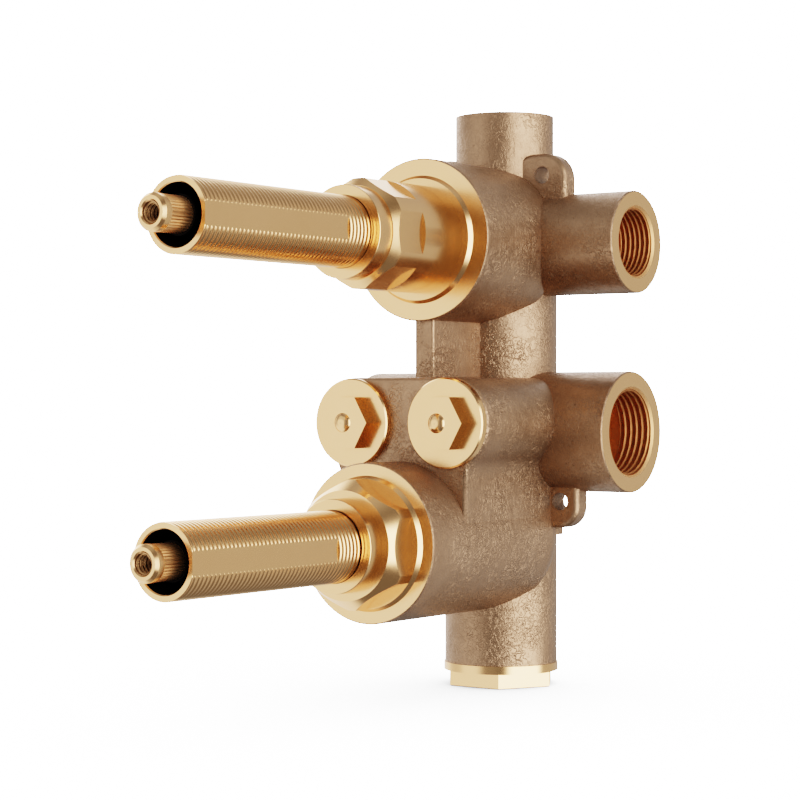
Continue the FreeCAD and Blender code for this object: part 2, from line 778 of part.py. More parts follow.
def thermostat_housing():
    """Tube with an annular groove for each supply, holes into its bore and an open rear end."""
    outer = mixer_chamber_r - fit_gap
    body = turned([(mixer_outlet_r, mixer_floor), (outer, mixer_floor), (outer, housing_shoulder),
                   (housing_neck_r, housing_shoulder), (housing_neck_r, housing_end),
                   (housing_bore_r, housing_end), (housing_bore_r, housing_bore_start),
                   (mixer_outlet_r, housing_bore_start)], 0, mixer_z)
    cuts = []
    for groove in (cold_groove, hot_groove):
        middle = mixer_floor + groove
        cuts.append(tube_piece(mixer_chamber_r, outer - groove_depth, middle - groove_width / 2,
                               middle + groove_width / 2, 0, mixer_z))
        hole = Part.makeCylinder(groove_hole_r, outer, V(0, -middle, mixer_z), V(0, 0, 1))
        cuts += turned_copies(hole, groove_holes, 0, mixer_z)
    for depth in housing_ring_places():
        cuts.append(tube_piece(mixer_chamber_r, outer - 2 * housing_ring_r, depth - housing_ring_r - seal_gap,
                               depth + housing_ring_r + seal_gap, 0, mixer_z))
    return body.cut(cuts)


def housing_rings():
    section = housing_ring_r - seal_gap
    return Part.makeCompound([ring(mixer_chamber_r - fit_gap - housing_ring_r, section, depth, 0, mixer_z)
                              for depth in housing_ring_places()])


def mixing_shuttle():
    """Sliding ring on a pierced web, with a hub that carries the thermostat's element."""
    outer = housing_bore_r - run_gap
    end = shuttle_rear + shuttle_length
    web_start = wax_seat - shuttle_web
    groove = shuttle_rear + shuttle_length / 2
    body = turned([(wax_r + run_gap, web_start), (outer - shuttle_wall, web_start),
                   (outer - shuttle_wall, shuttle_rear), (outer, shuttle_rear),
                   (outer, groove - shuttle_ring_r - seal_gap),
                   (outer - 2 * shuttle_ring_r, groove - shuttle_ring_r - seal_gap),
                   (outer - 2 * shuttle_ring_r, groove + shuttle_ring_r + seal_gap),
                   (outer, groove + shuttle_ring_r + seal_gap), (outer, end), (outer - shuttle_wall, end),
                   (outer - shuttle_wall, wax_seat), (wax_r + run_gap, wax_seat)], 0, mixer_z)
    ring_r = (wax_flange_r + outer - shuttle_wall) / 2
    hole = forward(shuttle_hole_r, web_start, wax_seat, ring_r, mixer_z)
    return body.cut(turned_copies(hole, groove_holes, 0, mixer_z))


def shuttle_ring():
    section = shuttle_ring_r - seal_gap
    middle = shuttle_rear + shuttle_length / 2
    return ring(housing_bore_r - run_gap - shuttle_ring_r, section, middle, 0, mixer_z)


def wax_element():
    """Wax capsule with a flange that sits on the shuttle and a pin that pushes on the plate."""
    flange_end = wax_seat + wax_flange
    return turned([(0, wax_seat - wax_length), (wax_r, wax_seat - wax_length), (wax_r, wax_seat),
                   (wax_flange_r, wax_seat), (wax_flange_r, flange_end), (wax_pin_r, flange_end),
                   (wax_pin_r, plate_rear), (0, plate_rear)], 0, mixer_z)


def feed_nut():
    """Nut that the stem's screw moves along, keyed by two flats, with a pocket for the spring."""
    end = feed_nut_start + feed_nut_length
    screw_r = feed_screw_r + run_gap
    body = turned([(feed_pocket_r, feed_nut_start), (feed_nut_r, feed_nut_start), (feed_nut_r, end),
                   (screw_r, end), (screw_r, feed_pocket_end), (feed_pocket_r, feed_pocket_end)], 0, mixer_z)
    return body.cut([Part.makeBox(feed_nut_r, feed_nut_length, 2 * feed_nut_r,
                                  V(x, -end, mixer_z - feed_nut_r))
                     for x in (feed_nut_flat, -feed_nut_flat - feed_nut_r)])


def overload_spring():
    return coil(feed_pocket_r - float_gap - overload_wire_r, overload_wire_r,
                plate_rear + plate_thickness, feed_pocket_end, overload_coils, 0, mixer_z)


def return_spring():
    end = wax_seat - shuttle_web
    middle_r = (mixer_outlet_r + housing_bore_r) / 2
    return coil(middle_r, return_wire_r, housing_bore_start, end, return_coils, 0, mixer_z)


def check_plug(x):
    """Round-headed plug with a raised hexagon, a centre point and a threaded shank."""
    disc_end = block_face + plug_disc_thickness
    hex_end = disc_end + plug_hex_height
    shank_r = check_bore_r - thread_gap
    groove_start = block_face - 2 * plug_ring_r - 2 * seal_gap
    body = turned([(0, plug_end), (shank_r, plug_end), (shank_r, groove_start),
                   (shank_r - 2 * plug_ring_r, groove_start), (shank_r - 2 * plug_ring_r, block_face),
                   (plug_disc_r, block_face), (plug_disc_r, disc_end - plug_disc_edge),
                   (plug_disc_r - plug_disc_edge, disc_end), (0, disc_end)], x, check_z)
    bend = math.sqrt(0.5)
    nub_end = hex_end + plug_nub_height
    nub = turned([(0, hex_end), (plug_nub_r, hex_end),
                  (plug_nub_r * bend, hex_end + plug_nub_height * bend, 0, nub_end)], x, check_z)
    return body.fuse([hexagon(plug_hex, disc_end, hex_end, x, check_z, 0), nub]).removeSplitter()


def plug_ring(x):
    section = plug_ring_r - seal_gap
    depth = block_face - plug_ring_r - seal_gap
    return ring(check_bore_r - thread_gap - plug_ring_r, section, depth, x, check_z)


def check_seat(x):
    return tube_piece(check_bore_r - fit_gap, check_seat_way_r, check_floor, check_seat_end, x, check_z)


def check_guide(x):
    """Cage in front of the seat with side windows and a bridge that guides the poppet."""
    outer = check_bore_r - fit_gap
    inner = outer - check_guide_wall
    body = turned([(inner, check_seat_end), (outer, check_seat_end), (outer, check_guide_end),
                   (poppet_stem_r + run_gap, check_guide_end), (poppet_stem_r + run_gap, check_bridge_start),
                   (inner, check_bridge_start)], x, check_z)
    window_rise = poppet_stem_r + check_guide_wall
    window = Part.makeBox(check_window, check_guide_length - 2 * check_bridge, outer,
                          V(x - check_window / 2, -check_bridge_start, check_z + window_rise))
    outlet = forward(check_window / 2, check_bridge_start, check_guide_end,
                     x + (inner + poppet_stem_r) / 2, check_z)
    cuts = turned_copies(window, check_guide_windows, x, check_z)
    return body.cut(cuts + turned_copies(outlet, check_guide_windows, x, check_z))


def check_poppet(x):
    """Poppet on a guide stem, with a boss that carries its seal."""
    head_start = check_seat_end + poppet_seal_thickness
    return turned([(0, check_seat_end), (poppet_boss_r, check_seat_end), (poppet_boss_r, head_start),
                   (poppet_r, head_start), (poppet_r, poppet_end), (poppet_stem_r, poppet_end),
                   (poppet_stem_r, poppet_end + poppet_stem_length),
                   (0, poppet_end + poppet_stem_length)], x, check_z)


def check_seal(x):
    """Flat rubber ring on the poppet's boss, pressed on the seat."""
    return tube_piece(poppet_r, poppet_boss_r + seal_gap, check_seat_end,
                      check_seat_end + poppet_seal_thickness, x, check_z)


def check_spring(x):
    inner = check_bore_r - fit_gap - check_guide_wall
    return coil(inner - float_gap - check_wire_r - check_guide_wall, check_wire_r,
                poppet_end, check_bridge_start, check_coils, x, check_z)


def bottom_plug():
    """Hexagon plug with a wide flange in the tube's lower port."""
    flange_bottom = tube_bottom - bottom_flange_thickness
    shank_r = large_port_r - thread_gap
    shank_top = tube_bottom + bottom_thread_length
    groove = 2 * bottom_ring_r
    groove_bottom = tube_bottom + port_chamfer + fit_gap
    body = turned_up([(0, flange_bottom), (bottom_flange_r, flange_bottom), (bottom_flange_r, tube_bottom),
                      (shank_r, tube_bottom), (shank_r, groove_bottom), (shank_r - groove, groove_bottom),
                      (shank_r - groove, groove_bottom + groove + 2 * seal_gap),
                      (shank_r, groove_bottom + groove + 2 * seal_gap), (shank_r, shank_top),
                      (bottom_hollow_r, shank_top), (bottom_hollow_r, tube_bottom), (0, tube_bottom)])
    points = [V(x, y, flange_bottom) for x, y in hexagon_corners(bottom_hex, 0)]
    head = closed_face(points).extrude(V(0, 0, -bottom_hex_height))
    return body.fuse(head).removeSplitter()


def bottom_plug_ring():
    section = bottom_ring_r - seal_gap
    height = tube_bottom + port_chamfer + fit_gap + bottom_ring_r + seal_gap
    return Part.makeTorus(large_port_r - thread_gap - bottom_ring_r, section, V(0, 0, height), V(0, 0, 1))


def diverter_pieces():
    return {"diverter_bonnet": diverter_bonnet(),
            "diverter_bonnet_ring": bonnet_ring(diverter_thread_r, diverter_face, diverter_z),
            "diverter_sleeve": sleeve(diverter_socket_floor, diverter_z),
            "diverter_spindle": spindle(cartridge_end + clip_thickness + clip_land, diverter_tip, diverter_z),
            "diverter_stem": diverter_stem(),
            "diverter_stem_rings": stem_rings(diverter_ring_depth, diverter_z),
            "diverter_clip": clip(cartridge_end, diverter_z),
            "diverter_housing": cartridge_housing(),
            "diverter_driver": driver(),
            "diverter_moving_disc": moving_disc(),
            "diverter_fixed_disc": fixed_disc(),
            "diverter_base": cartridge_base(),
            "diverter_base_seals": base_seals()}


def mixer_pieces():
    return {"mixer_bonnet": mixer_bonnet(),
            "mixer_bonnet_ring": bonnet_ring(mixer_thread_r, mixer_face, mixer_z),
            "mixer_sleeve": sleeve(mixer_socket_floor, mixer_z),
            "mixer_spindle": spindle(mixer_socket_floor + clip_thickness + clip_land, mixer_tip, mixer_z),
            "mixer_stem": mixer_stem(),
            "mixer_stem_rings": stem_rings(mixer_ring_depth, mixer_z),
            "mixer_clip": clip(mixer_socket_floor, mixer_z),
            "mixer_housing": thermostat_housing(),
            "mixer_housing_rings": housing_rings(),
            "feed_nut": feed_nut(),
            "overload_spring": overload_spring(),
            "overload_plate": forward(plate_r, plate_rear, plate_rear + plate_thickness, 0, mixer_z),
            "wax_element": wax_element(),
            "mixing_shuttle": mixing_shuttle(),
            "shuttle_ring": shuttle_ring(),
            "return_spring": return_spring()}


def check_pieces():
    pieces = {}
    for supply, x in (("hot", -check_x), ("cold", check_x)):
        pieces[supply + "_check_plug"] = check_plug(x)
        pieces[supply + "_plug_ring"] = plug_ring(x)
        pieces[supply + "_check_seat"] = check_seat(x)
        pieces[supply + "_check_guide"] = check_guide(x)
        pieces[supply + "_check_poppet"] = check_poppet(x)
        pieces[supply + "_check_seal"] = check_seal(x)
        pieces[supply + "_check_spring"] = check_spring(x)
    return pieces


def main():
    os.makedirs("parts", exist_ok=True)
    pieces = {"valve_body": valve_body(),
              "bottom_plug": bottom_plug(),
              "bottom_plug_ring": bottom_plug_ring()}
    for group in (diverter_pieces(), mixer_pieces(), check_pieces()):
        pieces.update(group)
    for name, shape in pieces.items():
        shape.exportStep("parts/" + name + ".step")


main()
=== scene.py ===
import math

import bpy
import numpy as np
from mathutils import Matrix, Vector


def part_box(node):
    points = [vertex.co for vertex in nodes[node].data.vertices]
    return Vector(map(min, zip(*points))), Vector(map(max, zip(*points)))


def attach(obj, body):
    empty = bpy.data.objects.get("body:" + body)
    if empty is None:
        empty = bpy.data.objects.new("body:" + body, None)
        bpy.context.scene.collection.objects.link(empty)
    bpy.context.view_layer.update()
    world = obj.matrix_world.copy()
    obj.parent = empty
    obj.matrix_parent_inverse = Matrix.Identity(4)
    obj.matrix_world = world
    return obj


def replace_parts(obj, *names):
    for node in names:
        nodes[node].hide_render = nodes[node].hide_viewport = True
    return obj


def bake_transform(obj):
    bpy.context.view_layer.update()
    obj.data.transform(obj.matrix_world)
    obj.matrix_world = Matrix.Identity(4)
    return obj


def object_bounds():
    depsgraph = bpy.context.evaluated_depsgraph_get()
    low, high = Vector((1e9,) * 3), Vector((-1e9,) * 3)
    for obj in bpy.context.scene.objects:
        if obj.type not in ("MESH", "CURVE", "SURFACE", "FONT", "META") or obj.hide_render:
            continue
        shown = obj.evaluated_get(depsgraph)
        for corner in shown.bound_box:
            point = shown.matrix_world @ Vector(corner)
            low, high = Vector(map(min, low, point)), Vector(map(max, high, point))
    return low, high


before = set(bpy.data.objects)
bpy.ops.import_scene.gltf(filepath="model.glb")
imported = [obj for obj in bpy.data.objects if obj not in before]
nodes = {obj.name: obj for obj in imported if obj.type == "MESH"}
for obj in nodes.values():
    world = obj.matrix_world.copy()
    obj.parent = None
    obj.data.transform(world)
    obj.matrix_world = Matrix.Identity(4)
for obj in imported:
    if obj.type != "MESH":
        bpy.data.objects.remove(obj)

cad_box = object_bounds()
scene = bpy.context.scene

# Places and sizes in metres, as in the part's source
MM = 0.001
DIVERTER_Z = 79.5 * MM
MIXER_Z = -10.5 * MM
INLET_Z = 21.5 * MM
CHECK_Z = 24.5 * MM
CHECK_X = 16.93 * MM
TOP_TUBE_Y = 2.2 * MM
INLET_REACH = 47.3 * MM
OUTLET_REACH = 49.0 * MM
TUBE_TOP = 121.1 * MM
TUBE_BOTTOM = -51.3 * MM
BLOCK_FACE = 55.3 * MM
BLOCK_HALF = 22.8 * MM
DIVERTER_FACE = 45.6 * MM
MIXER_FACE = 72.7 * MM
DIVERTER_TIP = 167.4 * MM
MIXER_TIP = 170.3 * MM
LARGE_PORT_R = 13.22 * MM
SMALL_PORT_R = 10.478 * MM

# Directions
RIGHT = (1, 0, 0)
LEFT = (-1, 0, 0)
FRONT = (0, -1, 0)
UP = (0, 0, 1)


# Meshes from parametric surfaces

def full_turn(count):
    """Angles evenly spaced round a full turn."""
    return np.linspace(0, 2 * np.pi, count, endpoint=False)


def grid_mesh(name, points, smooth_angle, ring=True):
    """A mesh from a grid of points, with one quad to a cell. Its columns close on themselves. So do
    its rows in a ring-like skin, and otherwise its first and last rows end in flat caps."""
    rows, cols = points.shape[:2]
    index = np.arange(rows * cols).reshape(rows, cols)
    down = np.roll(index, -1, axis=0)
    quads = np.stack([index, np.roll(index, -1, axis=1), np.roll(down, -1, axis=1), down], axis=-1)
    faces = quads.reshape(-1, 4)
    if not ring:
        caps = [index[0, ::-1].tolist(), index[-1].tolist()]
        faces = quads[:-1].reshape(-1, 4).tolist() + caps
    mesh = bpy.data.meshes.new(name)
    mesh.from_pydata(points.reshape(-1, 3), [], faces)
    mesh.polygons.foreach_set("use_smooth", np.ones(len(mesh.polygons), bool))
    mesh.set_sharp_from_angle(angle=math.radians(smooth_angle))
    mesh.update()
    return mesh


def add_piece(mesh, finishes, body):
    """Puts a mesh in the scene as a piece with its finishes, riding on a body if one is named."""
    piece = bpy.data.objects.new(mesh.name, mesh)
    scene.collection.objects.link(piece)
    for finish in finishes:
        mesh.materials.append(finish)
    if body:
        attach(piece, body)
    return piece


def about_axis(radius, along, angle, origin, axis, side):
    """Points at a radius and an angle about an axis: origin + axis * along + radius * (side *
    cos(angle) + (axis x side) * sin(angle))."""
    axis = np.asarray(axis, float)
    side = np.asarray(side, float)
    up = np.cross(axis, side)
    outward = side * np.cos(angle)[..., None] + up * np.sin(angle)[..., None]
    return np.asarray(origin, float) + axis * along[..., None] + radius[..., None] * outward


def thread_wave(along, angle, pitch):
    """Height of a right-hand rounded thread between 0 (root) and 1 (crest): half a cosine wave of
    the advance along the axis less one pitch per turn."""
    return 0.5 - 0.5 * np.cos(2 * np.pi * (along / pitch - angle / (2 * np.pi)))


def sleeve_angles():
    """Angles around a sleeve, closer together near the two flats, where the thread runs out."""
    half_flat = 24
    near = np.linspace(-half_flat, half_flat, 40, endpoint=False)
    away = np.linspace(half_flat, 180 - half_flat, 52, endpoint=False)
    half = np.concatenate([near, away])
    return np.radians(np.concatenate([half, half + 180]))


def threaded_sleeve(name, start, collar, z):
    """A sleeve from a closed profile carried round its axis. On the outside the radius is the
    thread, root + depth * wave, from the collar on, cut by the end chamfer and, on the flats,
    limited to flat / |cos(angle)|. The profile then goes over the front face and back along the
    bore, which has the second finish: near-black painted shade."""
    outer, root, bore = 10.4775 * MM, 10.28 * MM, 8.5 * MM
    flat, flat_length = 9.85 * MM, 62.4 * MM
    length, pitch, chamfer, step = 84.4 * MM, 1.675 * MM, 0.2 * MM, 0.02 * MM
    rows_per_turn, least_cosine = 12, 0.5
    lip, lip_run, rear_run = 0.3 * MM, 1.2 * MM, 1.0 * MM
    end = start + length
    flat_start = end - flat_length
    turns = (end - collar) / pitch
    run = np.linspace(collar, end, int(turns * rows_per_turn))
    breaks = [flat_start - step / 2, flat_start + step / 2, end - chamfer]
    run = np.sort(np.concatenate([run, breaks]))
    plain_rows = [start, collar - step]
    bore_rows = [end - lip, end - lip_run, start + rear_run, start]
    profile = np.concatenate([plain_rows, run, [end], bore_rows])
    along, turn = np.meshgrid(profile, sleeve_angles(), indexing="ij")
    radius = root + (outer - root) * thread_wave(along - start, turn, pitch)
    radius = np.minimum(radius, outer - np.maximum(along - (end - chamfer), 0))
    limit = flat / np.maximum(np.abs(np.cos(turn)), least_cosine)
    radius = np.where(along > flat_start, np.minimum(radius, limit), radius)
    radius[:len(plain_rows)] = root
    radius[-len(bore_rows) - 1] = bore + lip
    radius[-len(bore_rows):] = bore
    points = about_axis(radius, along, turn, (0, 0, z), FRONT, RIGHT)
    mesh = grid_mesh(name, points, smooth_angle=38)
    second = np.zeros(along.shape, np.int32)
    # The bore's rows take the second finish, near-black painted shade
    second[-len(bore_rows):] = 1
    mesh.polygons.foreach_set("material_index", second.ravel())
    return mesh


def inside_thread(name, radius, depth, pitch, start, length, origin, axis, side):
    """A thread's lining in a round hole: a closed skin whose inner wall is radius - depth * wave to
    the eighth power, so that the ridges are narrow, rising over a short lead at its mouth and faded
    out over half a turn at its inner end. Its outer wall is a plain cylinder."""
    rows_per_turn, sharpness, gap = 20, 8, 0.05 * MM
    fade_run, lead_run = 0.5 * pitch, 0.15 * pitch
    end = start + length
    angle = full_turn(96)
    run = np.linspace(start, end, int(length / pitch * rows_per_turn))
    along, turn = np.meshgrid(run, angle, indexing="ij")
    fade = np.clip((end - along) / fade_run, 0, 1)
    lead = np.clip((along - start) / lead_run, 0, 1)
    height = thread_wave(along, -turn, pitch) ** sharpness * fade * lead
    inner = radius - 2 * gap - depth * height
    wall = np.full((2, len(angle)), radius - gap)
    wall_along = np.repeat([[end], [start]], len(angle), axis=1)
    rings = np.concatenate([inner, wall])
    alongs = np.concatenate([along, wall_along])
    turns = np.concatenate([turn, turn[:2]])
    points = about_axis(rings, -alongs, turns, origin, axis, side)
    return grid_mesh(name, points, smooth_angle=60)


def coil_spring(name, low, high, wire, turns):
    """A wire spring along Y that fills a box: a circle of the wire's radius carried along a
    right-hand helix of radius r, so that a point lies at r + wire * cos(a) from the axis and wire *
    sin(a) behind the helix. Its two ends are flat."""
    rows_per_turn = 48
    angle = np.linspace(0, 2 * np.pi * turns, turns * rows_per_turn + 1)
    turn, section = np.meshgrid(angle, full_turn(16), indexing="ij")
    start, end = wire - high.y, -low.y - wire
    radius = (high.x - low.x) / 2 - wire + wire * np.cos(section)
    along = start + (end - start) * turn / angle[-1] - wire * np.sin(section)
    origin = ((low.x + high.x) / 2, 0, (low.z + high.z) / 2)
    points = about_axis(radius, along, turn, origin, FRONT, RIGHT)
    return grid_mesh(name, points, smooth_angle=40, ring=False)


# Shader expressions

class Socket:
    """An output socket that takes part in Python arithmetic: each operator adds a Math node."""

    def __init__(self, tree, out):
        self.tree, self.out = tree, out

    def math(self, operation, a, b):
        return self.tree.node("ShaderNodeMath", {"operation": operation}, {0: a, 1: b})

    def __add__(self, other):
        return self.math("ADD", self, other)

    def __radd__(self, other):
        return self.math("ADD", other, self)

    def __sub__(self, other):
        return self.math("SUBTRACT", self, other)

    def __rsub__(self, other):
        return self.math("SUBTRACT", other, self)

    def __mul__(self, other):
        return self.math("MULTIPLY", self, other)

    def __rmul__(self, other):
        return self.math("MULTIPLY", other, self)

    def __pow__(self, other):
        return self.math("POWER", self, other)


class Tree:
    """A shader node tree under construction."""

    def __init__(self, owner):
        owner.use_nodes = True
        self.nodes, self.links = owner.node_tree.nodes, owner.node_tree.links

    def feed(self, socket, value):
        if isinstance(value, Socket):
            self.links.new(value.out, socket)
        else:
            socket.default_value = value

    def node(self, kind, settings=None, values=None, output=0):
        """Any node: its settings first, then the values or links of its sockets."""
        made = self.nodes.new(kind)
        for key, value in (settings or {}).items():
            if key == "stops":
                for place, grey in value[2:]:
                    made.color_ramp.elements.new(place)
                for stop, (place, grey) in zip(made.color_ramp.elements, value):
                    stop.position, stop.color = place, (grey, grey, grey, 1)
            else:
                setattr(made, key, value)
        for key, value in (values or {}).items():
            self.feed(made.inputs[key], value)
        return Socket(self, made.outputs[output])

    def end(self, kind, surface):
        """Links a shader to the tree's output of the given kind."""
        output = next(n for n in self.nodes if n.type == kind)
        self.links.new(surface.out, output.inputs["Surface"])

    def place(self):
        return self.node("ShaderNodeTexCoord", output="Object")

    def noise(self, scale, detail=3.0, rough=0.55, vector=None, distortion=0.0):
        """Noise with its scale in features to the metre."""
        return self.node("ShaderNodeTexNoise", {}, {
            "Vector": vector or self.place(), "Scale": scale, "Detail": detail,
            "Roughness": rough, "Distortion": distortion})

    def ramp(self, value, *stops):
        return self.node("ShaderNodeValToRGB", {"stops": stops}, {"Fac": value})

    def window(self, value, half, soft):
        """1 where a value is within half of zero, falling to 0 over the soft edge around it."""
        return self.node("ShaderNodeMapRange", {"interpolation_type": "SMOOTHSTEP"}, {
            "Value": value.math("ABSOLUTE", value, 0),
            "From Min": half + soft, "From Max": half - soft, "To Min": 0.0, "To Max": 1.0})

    def mix(self, factor, a, b):
        return self.node("ShaderNodeMix", {"data_type": "RGBA"}, {0: factor, 6: a, 7: b}, 2)

    def bump(self, height, strength, distance):
        return self.node("ShaderNodeBump", {}, {
            "Strength": strength, "Distance": distance, "Height": height})


def colour(r, g, b):
    return (r, g, b, 1.0)


class Finish(Tree):
    """A material built on one Principled shader."""

    def __init__(self, name):
        self.material = bpy.data.materials.new(name)
        super().__init__(self.material)
        self.shader = next(n for n in self.nodes if n.type == "BSDF_PRINCIPLED")

    def set(self, **values):
        for key, value in values.items():
            self.feed(self.shader.inputs[key.replace("_", " ")], value)
        return self.material


def cast_bronze(name, roughness, shade):
    """Sand-cast bronze: brown metal with soft lumps, fine grain, short creases in rough patches and
    a few pits. The shade mixes its colour towards near black: painted shade."""
    f = Finish(name)
    lumps = f.noise(420, 2.0, 0.5)
    grain = f.noise(1300, 3.0, 0.6)
    rough_patches = f.ramp(f.noise(70, 2.0), (0.40, 0.15), (0.62, 1.0))
    creased = f.noise(520, 1.5, 0.5, distortion=1.6)
    creases = f.ramp(creased, (0.42, 0.0), (0.50, 1.0), (0.58, 0.0))
    pits = f.ramp(f.noise(850, 1.0, 0.5), (0.20, 0.0), (0.29, 1.0))
    tone = f.ramp(f.noise(95, 3.0, 0.6), (0.3, 0.0), (0.7, 1.0))
    height = 1.0 * lumps + 0.28 * grain + 0.75 * creases * rough_patches + 0.3 * pits
    tint = f.mix(tone, colour(0.325, 0.200, 0.122), colour(0.390, 0.246, 0.153))
    tint = f.mix(pits, colour(0.25, 0.148, 0.088), tint)
    # Painted shade: the shade darkens the colour towards near black
    tint = f.mix(shade, tint, colour(0.06, 0.035, 0.02))
    return f.set(Base_Color=tint, Metallic=0.75,
                 Roughness=roughness + 0.10 * grain + 0.05 * creases,
                 Normal=f.bump(height, 1.0, 0.14 * MM))


def turned_brass(name, centre, turn, roughness=0.17):
    """Turned brass: faint rings about the piece's own axis, soft stains and fine specks."""
    f = Finish(name)
    local = f.node("ShaderNodeMapping", {"vector_type": "TEXTURE"}, {
        "Vector": f.place(), "Location": centre, "Rotation": turn})
    flat = f.node("ShaderNodeVectorMath", {"operation": "MULTIPLY"}, {0: local, 1: (1, 1, 0)})
    radius = f.node("ShaderNodeVectorMath", {"operation": "LENGTH"}, {0: flat}, "Value")
    across = f.node("ShaderNodeCombineXYZ", {}, {0: radius, 1: 0.0, 2: 0.0})
    rings = f.noise(2600, 2.0, 0.6, across)
    stain = f.noise(70, 3.0, 0.6)
    specks = f.noise(1500, 2.0, 0.5)
    tint = f.mix(stain, colour(0.82, 0.48, 0.23), colour(0.86, 0.515, 0.262))
    return f.set(Base_Color=tint, Metallic=1.0,
                 Roughness=roughness + 0.05 * stain + 0.03 * specks,
                 Normal=f.bump(0.7 * rings + 0.3 * specks, 0.10, 0.03 * MM))


def painted_shade_bore():
    """Near-black painted shade on the sleeves' bores and the spindles' shafts, for the unlit inside
    of the sleeves.
    """
    f = Finish("painted_shade_bore")
    smear = f.noise(240, 3.0)
    tint = f.mix(smear, colour(0.002, 0.0015, 0.001), colour(0.005, 0.003, 0.002))
    return f.set(Base_Color=tint, Metallic=0.0, Specular_IOR_Level=0.1,
                 Roughness=0.55 + 0.2 * smear)


def tapped_metal(name, dark, light, roughness):
    """Metal of the tapped holes and waterways, smeared by cutting."""
    f = Finish(name)
    smear = f.noise(320, 3.0)
    tint = f.mix(smear, dark, light)
    return f.set(Base_Color=tint, Metallic=0.8, Roughness=roughness + 0.12 * smear,
                 Normal=f.bump(f.noise(1400, 2.0), 0.15, 0.05 * MM))


def moulded(name, dark, light, roughness, grain):
    """Rubber, plastic and ceramic of the inner pieces: fine grain and slightly uneven tone."""
    f = Finish(name)
    patches = f.noise(150, 3.0)
    fine = f.noise(grain, 2.0)
    return f.set(Base_Color=f.mix(patches, dark, light), Metallic=0.0,
                 Roughness=roughness + 0.12 * fine, Normal=f.bump(fine, 0.2, 0.05 * MM))


def spring_steel():
    """Drawn stainless wire: fine lines and a slight unevenness of tone."""
    f = Finish("spring_steel")
    patches = f.noise(200, 3.0)
    lines = f.noise(2200, 2.0)
    tint = f.mix(patches, colour(0.50, 0.50, 0.51), colour(0.64, 0.64, 0.65))
    return f.set(Base_Color=tint, Metallic=1.0, Roughness=0.22 + 0.14 * lines,
                 Normal=f.bump(lines, 0.15, 0.03 * MM))


# Finishes of this object
ALONG_Y = (math.radians(90), 0, 0)
ALONG_X = (0, math.radians(90), 0)
ALONG_Z = (0, 0, 0)
SPLINE_ROUGHNESS = 0.42
BEVEL_ROUGHNESS = 0.55
bronze = cast_bronze("cast_bronze", roughness=0.33, shade=0.0)
# Painted shade: darker, rougher bronze for the block's rounded front edges, in place of the
# highlight they would catch
edge_bronze_painted_shade = cast_bronze("cast_bronze_edge_painted_shade", roughness=0.55, shade=0.55)
# Thread linings: reddish machined bronze, darker than the waterways behind them; that darkening is
# painted shade for the thread valleys
tapped = tapped_metal(
    "tapped_bronze", colour(0.40, 0.165, 0.060), colour(0.50, 0.220, 0.085), roughness=0.44)
waterway = tapped_metal(
    "waterway_bronze", colour(0.60, 0.255, 0.085), colour(0.70, 0.320, 0.115), roughness=0.50)
tapped_brass = tapped_metal(
    "tapped_brass", colour(0.40, 0.22, 0.10), colour(0.50, 0.29, 0.14), roughness=0.25)
# Painted shade: near black, on the unlit bores of the sleeves and on the spindles' shafts
bore_painted_shade = painted_shade_bore()
diverter_brass = turned_brass("diverter_brass", (0, 0, DIVERTER_Z), ALONG_Y)
mixer_brass = turned_brass("mixer_brass", (0, 0, MIXER_Z), ALONG_Y)
hot_plug_brass = turned_brass("hot_plug_brass", (-CHECK_X, 0, CHECK_Z), ALONG_Y)
cold_plug_brass = turned_brass("cold_plug_brass", (CHECK_X, 0, CHECK_Z), ALONG_Y)
inlet_brass = turned_brass("inlet_face_brass", (0, 0, INLET_Z), ALONG_X)
outlet_brass = turned_brass("outlet_face_brass", (0, 0, DIVERTER_Z), ALONG_X)
tube_brass = turned_brass("tube_end_brass", (0, TOP_TUBE_Y, 0), ALONG_Z)
plug_brass = turned_brass("bottom_plug_brass", (0, 0, 0), ALONG_Z)
bevel_brass = turned_brass("port_bevel_brass", (0, 0, 0), ALONG_Z, BEVEL_ROUGHNESS)
diverter_spline = turned_brass(
    "diverter_spline_brass", (0, 0, DIVERTER_Z), ALONG_Y, SPLINE_ROUGHNESS)
mixer_spline = turned_brass("mixer_spline_brass", (0, 0, MIXER_Z), ALONG_Y, SPLINE_ROUGHNESS)
rubber = moulded("seal_rubber", colour(0.010, 0.010, 0.010), colour(0.022, 0.022, 0.022),
                 roughness=0.55, grain=900)
plastic = moulded("white_plastic", colour(0.74, 0.74, 0.71), colour(0.82, 0.82, 0.79),
                  roughness=0.38, grain=1200)
ceramic = moulded("lapped_ceramic", colour(0.80, 0.79, 0.74), colour(0.86, 0.85, 0.81),
                  roughness=0.14, grain=2000)
steel = spring_steel()


def dress(node, *finishes):
    """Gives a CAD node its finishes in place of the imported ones."""
    slots = nodes[node].data.materials
    slots.clear()
    for finish in finishes:
        slots.append(finish)


def triangles(mesh):
    """Centres of a CAD mesh's triangles, as an array."""
    centre = np.empty(len(mesh.polygons) * 3)
    mesh.polygons.foreach_get("center", centre)
    return centre.reshape(-1, 3)


def between(value, low, high):
    return (value > low) & (value < high)


